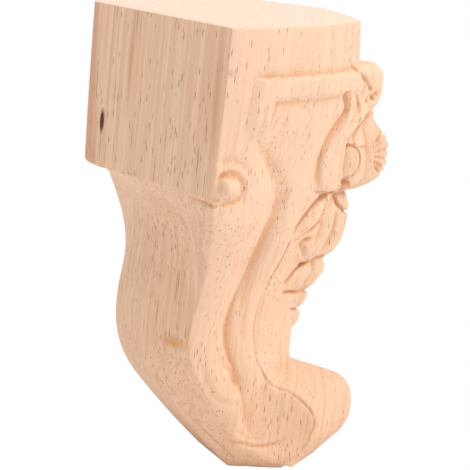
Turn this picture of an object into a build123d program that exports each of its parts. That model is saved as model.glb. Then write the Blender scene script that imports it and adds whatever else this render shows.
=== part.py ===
"""Carved wooden furniture leg: a flat-topped corner block, an S-curved leg with scroll
bands, a rolled toe, and a shell, leaves and husks carved down the front.

Millimetres, +Z up, the front towards -Y. The leg is symmetric about the plane X = 0.
The pattern is drawn as places (out, forward, up): out from the plane X = 0, forward from
the block's back strip, up from the foot. One pattern serves any size of leg.
"""

import os

from build123d import *

# Driving dimensions.
LEG_HEIGHT = 100.0
BLOCK_WIDTH = 62.5
BLOCK_DEPTH = 57.2
CARVING_RELIEF = 1.0

# Size of the leg that the pattern was drawn for.
PATTERN_HEIGHT = 100.0
PATTERN_WIDTH = 62.5
PATTERN_DEPTH = 57.2
OUT = BLOCK_WIDTH / PATTERN_WIDTH
FORWARD = BLOCK_DEPTH / PATTERN_DEPTH
UP = LEG_HEIGHT / PATTERN_HEIGHT

NEAR, FAR = -1, 1


def at(out, forward, up, side=NEAR):
    """A place of the pattern, on the near (-X) or the far (+X) side."""
    return Vector(side * out * OUT, -forward * FORWARD, up * UP)


# Sections of the leg from the foot up. Each has its height, then the half section's
# corners: back arris, side arris, valley between the two scroll bands, crease beside the
# nose, flank of the nose, and how far forward the nose stands. The last number is how far
# the bands bulge out of the straight line between their corners.
LEG_SECTIONS = [
    (0.0, (7.9, 37.6), (9.1, 41.9), (10.2, 45.4), (10.8, 48.6), (6.5, 51.0), 51.5, 0.1),
    (6.0, (9.3, 31.5), (12.8, 36.5), (12.4, 42.0), (11.6, 46.8), (6.5, 51.0), 52.0, 0.3),
    (12.0, (9.4, 25.3), (14.8, 31.4), (13.6, 38.0), (11.9, 44.6), (6.5, 50.0), 52.0, 0.7),
    (20.0, (8.4, 17.5), (17.0, 24.9), (13.9, 34.5), (11.6, 42.3), (6.3, 48.8), 52.4, 1.1),
    (30.0, (7.2, 13.2), (18.3, 19.5), (13.3, 30.2), (10.0, 39.0), (5.6, 46.8), 52.6, 1.3),
    (42.0, (6.8, 13.4), (20.6, 19.7), (14.8, 30.9), (10.7, 40.1), (5.9, 48.2), 54.0, 1.3),
    (54.0, (7.1, 14.0), (25.9, 18.3), (17.0, 34.9), (13.0, 43.6), (8.0, 51.0), 56.6, 1.2),
    (60.0, (8.0, 11.4), (29.6, 16.7), (18.2, 36.2), (13.5, 45.2), (9.2, 52.4), 57.8, 1.1),
    (63.5, (8.6, 7.6), (30.7, 16.1), (19.0, 35.8), (13.7, 46.2), (9.8, 53.2), 58.4, 1.0),
    (66.0, (8.9, 3.85), (31.0, 15.9), (19.9, 35.2), (13.8, 47.0), (10.0, 53.8), 58.8, 1.0),
]

# The block above it, up to its flat top.
BLOCK_SECTIONS = [
    (66.0, (4.6, 1.5), (31.0, 15.9), (19.9, 35.2), (13.8, 47.0), (10.0, 53.8), 58.8, 1.0),
    (72.0, (4.1, 1.1), (30.5, 15.9), (22.6, 31.2), (14.0, 48.8), (10.2, 54.8), 59.3, 0.9),
    (80.0, (3.6, 0.7), (30.8, 15.8), (24.0, 32.6), (14.1, 50.4), (10.4, 55.6), 59.2, 0.8),
    (90.0, (3.1, 0.3), (31.2, 15.75), (24.0, 34.2), (13.8, 51.6), (10.4, 56.2), 58.2, 0.8),
    (100.0, (2.65, 0.0), (31.25, 15.75), (24.0, 34.2), (13.8, 51.0), (10.4, 55.4), 57.2, 0.8),
]

# How far the block's back strip rounds out behind its two arrises.
BACK_ROUND = 0.9

# Side profiles of the toe at three places out from the middle: the back of its top, the
# start of the roll, its foremost point, the end of the roll and the tread's front edge.
TOE_PROFILES = [
    (0.0, (44.0, 25.0), (64.6, 18.8), (70.3, 11.6), (66.4, 4.2), (61.5, 0.0), (38.0, 0.0)),
    (3.4, (44.0, 24.6), (62.8, 18.6), (68.4, 11.5), (64.4, 4.2), (59.6, 0.03), (39.0, 0.33)),
    (12.4, (42.0, 20.4), (51.5, 15.3), (55.2, 10.0), (52.7, 4.6), (49.8, 0.4), (41.0, 4.4)),
]

# Disc on each side of the toe: its middle, radius, how far out its rim stands, and the
# shallow dish cut into it.
DISC_MIDDLE = (44.6, 12.3)
DISC_RADIUS = 8.6
DISC_FACE = 13.0
DISH_RADIUS = 6.8
DISH_FLOOR_RADIUS = 4.0
DISH_DEPTH = 0.7
RIM_BEVEL = 0.7

# Raised moulding under the block's plain top band, with an upright strip at its end. Its
# outline is the block's, moved out by the relief. Its shape from the side is a bar whose
# back end turns down into the strip, leaning forward a little.
BAR_OUTLINE = ((3.3, 0.5), (32.0, 16.0), (25.0, 33.9), (15.0, 51.4), (11.1, 56.6), 59.9, 0.8)
BAR_BOTTOM, BAR_TOP = 84.6, 89.7
STRIP_BOTTOM = 76.5
STRIP_TOP_FORWARD = (25.4, 29.8)
STRIP_BOTTOM_FORWARD = (28.3, 32.1)

# Scroll eye under the block's side arris.
EYE_MIDDLE = (29.7, 18.9, 67.2)
EYE_FACING = (0.91, 0.41)
EYE_RADIUS = 2.9
EYE_RELIEF = 1.4
EYE_BEVEL = 0.9
EYE_GROOVE_RADIUS = 4.1
EYE_GROOVE_DEPTH = 0.7

# Lobed ornament standing on the nose. A row has its height, then the half section's
# valleys (out, forward) from the middle lobe to the edge that sinks into the nose.
CURL_ROWS = [
    (89.8, (2.0, 64.6), (3.4, 62.2), (4.6, 60.4), (5.6, 58.0)),
    (88.4, (2.2, 66.2), (4.2, 62.8), (5.6, 60.6), (6.8, 57.6)),
    (85.8, (2.2, 66.9), (4.6, 62.8), (6.0, 60.4), (7.2, 57.4)),
    (83.4, (2.0, 67.2), (4.4, 63.0), (6.0, 60.0), (7.6, 57.0)),
    (80.0, (1.5, 66.4), (4.0, 63.0), (8.0, 57.9), (10.2, 54.6)),
]
SHELL_ROWS = [
    (80.0, (1.5, 66.4), (4.0, 63.0), (8.0, 57.9), (10.2, 54.6)),
    (77.4, (1.5, 66.2), (4.6, 62.0), (8.6, 56.6), (11.0, 53.2)),
    (73.4, (1.6, 69.8), (5.0, 62.8), (9.0, 55.4), (12.2, 50.8)),
    (69.6, (1.7, 70.7), (5.2, 63.6), (9.2, 55.0), (12.8, 49.4)),
    (66.0, (1.7, 70.3), (5.2, 63.6), (9.0, 55.4), (13.0, 48.8)),
    (63.2, (1.5, 67.6), (4.6, 62.2), (8.2, 55.8), (12.2, 49.4)),
    (61.4, (1.0, 63.6), (3.2, 60.0), (6.4, 55.6), (10.0, 50.6)),
]
LEAF_ROWS = [
    (61.4, (1.0, 61.0), (3.0, 57.6), (5.0, 54.0), (6.6, 50.6)),
    (56.6, (1.2, 62.6), (3.4, 58.6), (6.0, 54.0), (8.4, 49.8)),
    (51.4, (1.2, 62.2), (3.6, 57.6), (6.6, 52.6), (8.8, 48.6)),
    (47.4, (1.0, 60.4), (3.6, 55.4), (6.6, 51.2), (8.0, 47.8)),
    (45.0, (0.7, 57.6), (2.6, 54.0), (4.6, 50.4), (5.6, 47.4)),
]
TIER_ROWS = [
    (46.4, (0.8, 57.0), (2.4, 53.4), (4.2, 49.6), (5.2, 46.8)),
    (43.4, (0.9, 58.7), (2.8, 54.6), (5.2, 50.2), (6.2, 46.6)),
    (41.0, (0.9, 57.5), (2.8, 53.4), (5.6, 48.6), (6.6, 45.2)),
    (38.8, (0.8, 56.0), (2.2, 52.6), (4.6, 48.4), (5.4, 45.4)),
]
HUSK_ROWS = [
    (39.6, (0.7, 55.2), (1.6, 53.0), (2.8, 49.6), (3.4, 46.8)),
    (36.8, (0.8, 55.2), (2.0, 52.6), (3.3, 49.8), (3.8, 46.6)),
    (34.0, (0.6, 53.8), (1.4, 52.0), (2.4, 49.4), (2.8, 46.4)),
]
DROP_ROWS = [
    (34.6, (0.5, 53.4), (1.0, 52.4), (1.5, 50.8), (1.7, 48.0)),
    (31.8, (0.6, 54.0), (1.2, 53.0), (1.9, 51.0), (2.1, 48.0)),
    (29.2, (0.3, 52.6), (0.6, 52.0), (0.9, 51.0), (1.0, 48.0)),
]
MIDDLE_LOBE = 0.3
SIDE_LOBE = 0.12

# Faceted pieces: rows of a middle (out, forward, up) and a radius.
FACETS = 7
BUD_ROWS = [
    ((0, 61.0, 60.6), 1.4),
    ((0, 62.2, 58.4), 2.8),
    ((0, 62.2, 55.4), 2.7),
    ((0, 61.6, 53.4), 1.4),
]
BLADE_ROWS = [
    ((5.6, 54.2, 60.8), 1.3),
    ((8.2, 50.6, 57.6), 2.1),
    ((10.4, 46.8, 54.4), 2.0),
    ((11.9, 43.4, 51.0), 1.0),
]


def outward(p, q, bulge):
    """Point beside the middle of p-q, away from the leg by the bulge."""
    middle = (p + q) * 0.5
    along = (q - p).normalized()
    return middle + Vector(-along.Y, along.X, 0) * (bulge * CARVING_RELIEF)


def section(height, back, side, valley, crease, flank, nose, bulge, back_round=0):
    """Flat face across the leg, drawn all the way round from the back strip."""
    near = [at(*place, height, NEAR) for place in (back, side, valley, crease, flank)]
    far = [at(*place, height, FAR) for place in (back, side, valley, crease, flank)]
    tip = at(0, nose, height)
    strip = Line(far[0], near[0])
    if back_round:
        strip = ThreePointArc(far[0], at(0, back[1] - back_round, height), near[0])
    edges = [
        strip,
        Line(near[0], near[1]),
        ThreePointArc(near[1], outward(near[2], near[1], bulge), near[2]),
        ThreePointArc(near[2], outward(near[3], near[2], bulge), near[3]),
        Spline(near[3], near[4], tip, far[4], far[3]),
        ThreePointArc(far[3], outward(far[2], far[3], bulge), far[2]),
        ThreePointArc(far[2], outward(far[1], far[2], bulge), far[1]),
        Line(far[1], far[0]),
    ]
    return make_face(edges)


def toe_profile(out, *places):
    """Side view of the toe, drawn in a plane square to X."""
    corners = [at(out, *place) for place in places]
    return make_face(
        [
            Line(corners[0], corners[1]),
            ThreePointArc(corners[1], corners[2], corners[3]),
            Line(corners[3], corners[4]),
            Line(corners[4], corners[5]),
            Line(corners[5], corners[0]),
        ]
    )


def toe():
    """The rolled toe: one profile that narrows from the middle out to each disc."""
    far = [(-out, *places) for out, *places in TOE_PROFILES[:0:-1]]
    return loft([toe_profile(*row) for row in far + TOE_PROFILES], ruled=True)


def disc():
    """Disc with a dished face on the near side of the toe."""
    facing = Plane(origin=at(DISC_FACE, *DISC_MIDDLE), z_dir=(-1, 0, 0))
    drum = Cylinder(DISC_RADIUS * UP, DISC_FACE, align=(Align.CENTER, Align.CENTER, Align.MAX))
    drum = chamfer(drum.edges().filter_by(GeomType.CIRCLE).sort_by(Axis.Z)[-1], RIM_BEVEL * UP)
    dish_size = (DISH_FLOOR_RADIUS * UP, DISH_RADIUS * UP, DISH_DEPTH * UP)
    dish = Cone(*dish_size, align=(Align.CENTER, Align.CENTER, Align.MAX))
    return facing * (drum - dish)


def moulding():
    """Raised bar round the nose of the block, ending in an upright strip each side."""
    outline = loft([section(height, *BAR_OUTLINE) for height in (STRIP_BOTTOM, BAR_TOP)])
    past_nose = 2 * BLOCK_DEPTH
    corners = [
        at(0, STRIP_TOP_FORWARD[0], BAR_TOP),
        at(0, past_nose, BAR_TOP),
        at(0, past_nose, BAR_BOTTOM),
        at(0, STRIP_TOP_FORWARD[1], BAR_BOTTOM),
        at(0, STRIP_BOTTOM_FORWARD[1], STRIP_BOTTOM),
        at(0, STRIP_BOTTOM_FORWARD[0], STRIP_BOTTOM),
    ]
    side_view = make_face(Polyline(*corners, close=True))
    return outline & extrude(side_view, BLOCK_WIDTH, both=True)


def eye_plane():
    """Plane of the near scroll eye, facing outward."""
    out, forward = EYE_FACING
    return Plane(origin=at(*EYE_MIDDLE), z_dir=(-out, -forward, 0))


def eye():
    """Scroll eye, a bevelled boss under the block's near side arris."""
    boss = Cylinder(EYE_RADIUS * UP, 2 * EYE_RELIEF * UP)
    rim = boss.edges().filter_by(GeomType.CIRCLE).sort_by(Axis.Z)[-1]
    return eye_plane() * chamfer(rim, EYE_BEVEL * UP)


def eye_groove():
    """V groove about the near scroll eye: what a V cutter turned round the eye takes away."""
    middle, depth = EYE_GROOVE_RADIUS * UP, EYE_GROOVE_DEPTH * UP
    corners = [(middle - 2 * depth, 0, depth), (middle + 2 * depth, 0, depth), (middle, 0, -depth)]
    return eye_plane() * revolve(make_face(Polyline(*corners, close=True)), Axis.Z)


def lobe(p, q, share):
    """Arc between two valleys, swelling away from the leg by a share of its chord."""
    return ThreePointArc(p, outward(q, p, share * (q - p).length), q)


def lobed_section(height, *valleys):
    """Flat face across the ornament: a row of lobes closed by a line inside the nose."""
    near = [at(*place, height, NEAR) for place in valleys]
    far = [at(*place, height, FAR) for place in valleys]
    edges = [lobe(near[0], far[0], MIDDLE_LOBE), Line(far[-1], near[-1])]
    for inner, outer in zip(near, near[1:]):
        edges.append(lobe(outer, inner, SIDE_LOBE))
    for inner, outer in zip(far, far[1:]):
        edges.append(lobe(inner, outer, SIDE_LOBE))
    return make_face(edges)


def lobed(rows):
    """Solid through a stack of lobed sections."""
    return loft([lobed_section(*row) for row in rows], ruled=True)


def faceted(rows):
    """Solid through a stack of level polygons, as a chisel leaves a small form."""
    polygons = [Pos(*at(*middle)) * RegularPolygon(radius * UP, FACETS) for middle, radius in rows]
    return loft(polygons, ruled=True)


def joined(pieces):
    """One shape of several that touch."""
    whole = pieces[0]
    for piece in pieces[1:]:
        whole += piece
    return whole


def body():
    """The plain carved body, before its ornament."""
    leg = loft([section(*row) for row in LEG_SECTIONS])
    block = loft([section(*row, BACK_ROUND) for row in BLOCK_SECTIONS], ruled=True)
    return leg + block + toe()


def carved():
    """The whole leg, with its ornament the same on both sides."""
    near = [faceted(BLADE_ROWS), disc(), eye()]
    far = [mirror(piece, about=Plane.YZ) for piece in near]
    groove = eye_groove()
    plain = body() - groove - mirror(groove, about=Plane.YZ)
    front = [lobed(rows) for rows in (CURL_ROWS, SHELL_ROWS, LEAF_ROWS, TIER_ROWS, HUSK_ROWS, DROP_ROWS)]
    return joined([plain, moulding(), *front, faceted(BUD_ROWS), *near, *far])


# The frame's origin is the middle of the flat top that the leg is fixed by.
carved_leg = Pos(0, BLOCK_DEPTH / 2, -LEG_HEIGHT) * carved()
os.makedirs("parts", exist_ok=True)
export_step(carved_leg, "parts/carved_leg.step")
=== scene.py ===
"""Looks of the carved furniture leg: a finer carving of the same form, pale wood, soft light.

The carving is worked out as a solid on a grid in the pattern frame (out, forward, up), in
millimetres: out from the plane X = 0, forward from the block's back strip, up from the foot.
Both halves are alike, so only one half is worked out.
"""

import math

import bpy
import numpy as np
from mathutils import Matrix, Vector


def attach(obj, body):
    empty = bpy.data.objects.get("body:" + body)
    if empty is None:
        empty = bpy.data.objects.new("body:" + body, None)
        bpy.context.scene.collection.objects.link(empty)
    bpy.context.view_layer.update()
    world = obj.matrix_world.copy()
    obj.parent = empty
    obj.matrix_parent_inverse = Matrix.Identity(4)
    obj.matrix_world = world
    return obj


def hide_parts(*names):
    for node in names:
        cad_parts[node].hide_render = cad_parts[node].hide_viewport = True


MM = 0.001
LEG_HEIGHT = 100.0
BLOCK_DEPTH = 57.2
BLOCK_FOOT = 66.0
GRID_STEP = 0.3
MOST_TRIANGLES = 190000
LOW_CORNER = (-2.5, -2.5)
HIGH_CORNER = (34.0, 74.0, 102.0)
FAR = 9.0
CELL_CORNERS = [(i, j, k) for i in (0, 1) for j in (0, 1) for k in (0, 1)]
SETTLE_ROUNDS = 3
SETTLE_LIMIT = 1.0

# Sections of the leg and block: height, then (out, forward) of the back arris, side arris,
# valley, crease and flank, how far forward the nose is, and how far the bands swell.
LEG_SECTIONS = [
    (0.0, (7.9, 36.8), (9.1, 41.9), (10.2, 45.4), (10.8, 48.6), (6.5, 51.0), 51.5, 0.1),
    (6.0, (9.3, 30.5), (12.8, 36.5), (12.4, 42.0), (11.6, 46.8), (6.5, 51.0), 52.0, 0.3),
    (12.0, (9.4, 24.6), (14.8, 31.4), (13.6, 38.0), (11.9, 44.6), (6.5, 50.0), 52.0, 0.7),
    (20.0, (8.4, 17.5), (17.0, 24.9), (13.9, 34.5), (11.6, 42.3), (6.3, 48.8), 52.4, 1.1),
    (30.0, (7.2, 13.2), (18.3, 19.5), (13.3, 30.2), (10.0, 39.0), (5.6, 46.8), 52.6, 1.3),
    (42.0, (6.8, 13.4), (20.6, 19.7), (14.8, 30.9), (10.7, 40.1), (5.9, 48.2), 54.0, 1.3),
    (54.0, (7.1, 14.0), (25.9, 18.3), (17.0, 34.9), (13.0, 43.6), (8.0, 51.0), 56.6, 1.2),
    (60.0, (8.0, 11.4), (29.6, 16.7), (18.2, 36.2), (13.5, 45.2), (9.2, 52.4), 57.8, 1.1),
    (63.5, (8.6, 7.6), (30.7, 16.1), (19.0, 35.8), (13.7, 46.2), (9.8, 53.2), 58.4, 1.0),
    (66.0, (8.9, 3.85), (31.0, 15.9), (19.9, 35.2), (13.8, 47.0), (10.0, 53.8), 58.8, 1.0),
]
BLOCK_SECTIONS = [
    (66.0, (4.6, 1.5), (31.0, 15.9), (19.9, 35.2), (13.8, 47.0), (10.0, 53.8), 58.8, 1.0),
    (72.0, (4.1, 1.1), (30.5, 15.9), (22.6, 31.2), (14.0, 48.8), (10.2, 54.8), 59.3, 0.9),
    (80.0, (3.6, 0.7), (30.8, 15.8), (24.0, 32.6), (14.1, 50.4), (10.4, 55.6), 59.2, 0.8),
    (90.0, (3.1, 0.3), (31.2, 15.75), (24.0, 34.2), (13.8, 51.6), (10.4, 56.2), 58.2, 0.8),
    (100.0, (2.65, 0.0), (31.25, 15.75), (24.0, 34.2), (13.8, 51.0), (10.4, 55.4), 57.2, 0.8),
]
BACK_ROUND = 0.9
STRIP_SHARES = (0, 0.35, 0.7)
NOSE_POINTS = 11

# Side profiles of the toe: out, then (forward, up) of its top's back, the start of the roll,
# its foremost point, the end of the roll, the tread and the heel.
TOE_PROFILES = [
    (0.0, (44.0, 25.0), (64.6, 18.8), (70.3, 11.6), (66.4, 4.2), (61.5, 0.0), (38.0, 0.0)),
    (3.4, (44.0, 24.6), (62.8, 18.6), (68.4, 11.5), (64.4, 4.2), (59.6, 0.03), (39.0, 0.33)),
    (12.4, (42.0, 20.4), (51.5, 15.3), (55.2, 10.0), (52.7, 4.6), (49.8, 0.4), (41.0, 4.4)),
]
DISC_MIDDLE = (46.0, 10.7)
DISC_RADIUS = 8.2
DISC_FACE = 12.9
TOE_LOW = (0, 34, LOW_CORNER[1])
TOE_HIGH = (18, HIGH_CORNER[1], 30)
ROLL_POINTS = 12
TOE_SLANT = 0.7
# Dish in the disc: its middle (forward, up), radius and depth, and how far out it may reach.
DISH = ((45.2, 12.8), 8.2, 1.2)
DISH_LIMIT = 9.0

# Raised moulding: how far it stands, its bar between two heights, and the leaning strip.
BAR_RELIEF = 0.8
BAR_BOTTOM, BAR_TOP = 84.6, 89.7
STRIP_BOTTOM = 76.5
STRIP_TOP_FORWARD = (24.6, 29.6)
STRIP_BOTTOM_FORWARD = (23.6, 27.8)
MOULDING_LOW = (9, 22, 60)
MOULDING_HIGH = (HIGH_CORNER[0], 62, 94)
# Where each edge of the moulding starts and ends, from its named place.
BAR_FOOT_SPAN = (-0.5, 1.4)
BAR_TOP_SPAN = (-1.0, 0.4)
STRIP_BACK_SPAN = (-2.2, 0.9)
STRIP_FRONT_SPAN = (-0.7, 0.7)
STRIP_FOOT_SPAN = (-1, 5)
STRIP_TOP_SPAN = (-0.3, 0.3)

# Scroll eye: its boss, the groove wound about it, the soft rim outside, the hole and the line
# that runs to it under the block.
EYE_BOSS = ([(30.0, 18.3, 67.7), (29.2, 19.8, 67.3)], [2.0, 1.9])
EYE_GROOVE = (
    [(30.9, 16.2, 69.0), (30.3, 17.4, 70.0), (29.3, 19.6, 70.5), (28.0, 22.0, 69.7), (27.5, 23.4, 68.4),
     (27.2, 24.1, 66.7), (27.4, 23.7, 65.1), (28.2, 21.9, 64.2), (29.6, 19.4, 63.9), (30.3, 17.6, 63.9)],
    [0.5, 0.7, 0.8, 1.0, 1.1, 1.2, 1.1, 0.9, 0.8, 0.6],
    [0.3, 0.5, 0.5, 0.6, 0.7, 0.8, 0.7, 0.6, 0.5, 0.3],
)
EYE_RIM = (
    [(30.4, 16.0, 72.6), (30.0, 17.6, 73.0), (29.1, 20.3, 72.9), (27.7, 23.2, 71.8), (26.6, 25.5, 70.0),
     (26.2, 26.2, 67.6)],
    [0.5, 0.8, 0.9, 0.9, 0.8, 0.5],
    [0.1, 0.2, 0.25, 0.25, 0.2, 0.1],
)
EYE_HOLE = ([(30.9, 16.4, 65.3), (30.7, 16.9, 65.1)], [0.35, 0.3], [0.8, 0.5])
UNDER_LINE = (
    [(24.0, 13.2, 64.6), (26.2, 14.1, 64.3), (28.8, 15.1, 64.0), (30.3, 16.7, 63.8)],
    [0.5, 0.5, 0.5, 0.4],
    [0.2, 0.4, 0.5, 0.3],
)

# Lobed ornament: rows of a height and the half section's valleys, as the solid has them.
CURL_ROWS = [
    (89.8, (2.0, 64.6), (3.4, 62.2), (4.6, 60.4), (5.6, 58.0)),
    (88.4, (2.2, 66.2), (4.2, 62.8), (5.6, 60.6), (6.8, 57.6)),
    (85.8, (2.2, 66.9), (4.6, 62.8), (6.0, 60.4), (7.2, 57.4)),
    (83.4, (2.0, 67.2), (4.4, 63.0), (6.0, 60.0), (7.6, 57.0)),
    (80.0, (1.5, 66.4), (4.0, 63.0), (8.0, 57.9), (10.2, 54.6)),
]
SHELL_ROWS = [
    (80.0, (1.5, 66.4), (4.0, 63.0), (8.0, 57.9), (10.2, 54.6)),
    (77.4, (1.5, 66.2), (4.6, 62.0), (8.6, 56.6), (11.0, 53.2)),
    (73.4, (1.6, 69.8), (5.0, 62.8), (9.0, 55.4), (12.2, 50.8)),
    (69.6, (1.7, 70.7), (5.2, 63.6), (9.2, 55.0), (12.8, 49.4)),
    (66.0, (1.7, 70.3), (5.2, 63.6), (9.0, 55.4), (13.0, 48.8)),
    (63.2, (1.5, 67.6), (4.6, 62.2), (8.2, 55.8), (12.2, 49.4)),
    (61.4, (1.0, 63.6), (3.2, 60.0), (6.4, 55.6), (10.0, 50.6)),
]
LEAF_ROWS = [
    (61.4, (1.0, 61.0), (3.0, 57.6), (5.0, 54.0), (6.6, 50.6)),
    (56.6, (1.2, 62.6), (3.4, 58.6), (6.0, 54.0), (8.4, 49.8)),
    (51.4, (1.2, 62.2), (3.6, 57.6), (6.6, 52.6), (8.8, 48.6)),
    (47.4, (1.0, 60.4), (3.6, 55.4), (6.6, 51.2), (8.0, 47.8)),
    (45.0, (0.7, 57.6), (2.6, 54.0), (4.6, 50.4), (5.6, 47.4)),
]
TIER_ROWS = [
    (46.4, (0.8, 57.0), (2.4, 53.4), (4.2, 49.6), (5.2, 46.8)),
    (43.4, (0.9, 58.7), (2.8, 54.6), (5.2, 50.2), (6.2, 46.6)),
    (41.0, (0.9, 57.5), (2.8, 53.4), (5.6, 48.6), (6.6, 45.2)),
    (38.8, (0.8, 56.0), (2.2, 52.6), (4.6, 48.4), (5.4, 45.4)),
]
HUSK_ROWS = [
    (39.6, (0.7, 55.2), (1.6, 53.0), (2.8, 49.6), (3.4, 46.8)),
    (36.8, (0.8, 55.2), (2.0, 52.6), (3.3, 49.8), (3.8, 46.6)),
    (34.0, (0.6, 53.8), (1.4, 52.0), (2.4, 49.4), (2.8, 46.4)),
]
DROP_ROWS = [
    (34.6, (0.5, 53.4), (1.0, 52.4), (1.5, 50.8), (1.7, 48.0)),
    (31.8, (0.6, 54.0), (1.2, 53.0), (1.9, 51.0), (2.1, 48.0)),
    (29.2, (0.3, 52.6), (0.6, 52.0), (0.9, 51.0), (1.0, 48.0)),
]
MIDDLE_LOBE = 0.3
SIDE_LOBE = 0.12
LOBE_CURVE = ((0.0, 1.0), (0.4, 0.84), (0.75, 0.44))
LOBE_POINTS = 4
ORNAMENT_BACK = 44
ORNAMENT_WIDE = 18
ORNAMENT_MARGIN = 2

# Wood added along lines over the surface: places (out, forward, up), half widths, heights.
RIDGES = [
    # Ribbon from the curl down to the leaf, and the flat band beside the oval lobe.
    ([(3.0, 65.0, 82.0), (4.4, 62.9, 80.4), (7.0, 60.0, 78.8), (8.6, 57.6, 77.0), (9.8, 55.6, 75.0)],
     [1.1, 1.4, 1.4, 1.3, 1.0], [0.4, 0.6, 0.7, 0.6, 0.3]),
    ([(10.2, 54.8, 74.6), (9.8, 55.2, 72.0), (9.7, 55.4, 68.4), (9.4, 55.6, 65.4)],
     [0.8, 1.0, 1.0, 0.8], [0.3, 0.4, 0.4, 0.3]),
    # Rib between the leaf hollow and the small hollow.
    ([(10.3, 56.2, 83.2), (8.7, 57.4, 80.9), (9.0, 57.0, 79.0)], [0.5, 0.6, 0.5], [0.3, 0.4, 0.3]),
    # Oval lobe.
    ([(8.0, 58.3, 71.2), (8.0, 58.4, 69.0), (8.2, 58.2, 66.9)], [1.2, 1.6, 1.3], [0.3, 0.5, 0.3]),
    # Blade.
    ([(9.2, 52.2, 59.6), (10.3, 50.2, 57.3), (11.5, 47.9, 55.4), (12.1, 45.6, 53.6), (12.2, 44.0, 52.5)],
     [0.9, 1.5, 1.4, 1.0, 0.4], [0.4, 0.9, 0.8, 0.5, 0.1]),
    # Bud.
    ([(1.4, 61.6, 59.4), (1.2, 62.0, 57.8)], [1.6, 1.5], [0.5, 0.5]),
    # Lobes under the bud.
    ([(1.6, 61.2, 55.0), (1.6, 61.0, 51.5), (1.2, 59.2, 48.0)], [0.9, 1.1, 0.7], [0.3, 0.4, 0.2]),
    ([(4.6, 56.2, 55.8), (5.0, 55.0, 52.0), (4.2, 53.4, 48.2)], [0.9, 1.2, 0.8], [0.3, 0.4, 0.2]),
]

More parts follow.
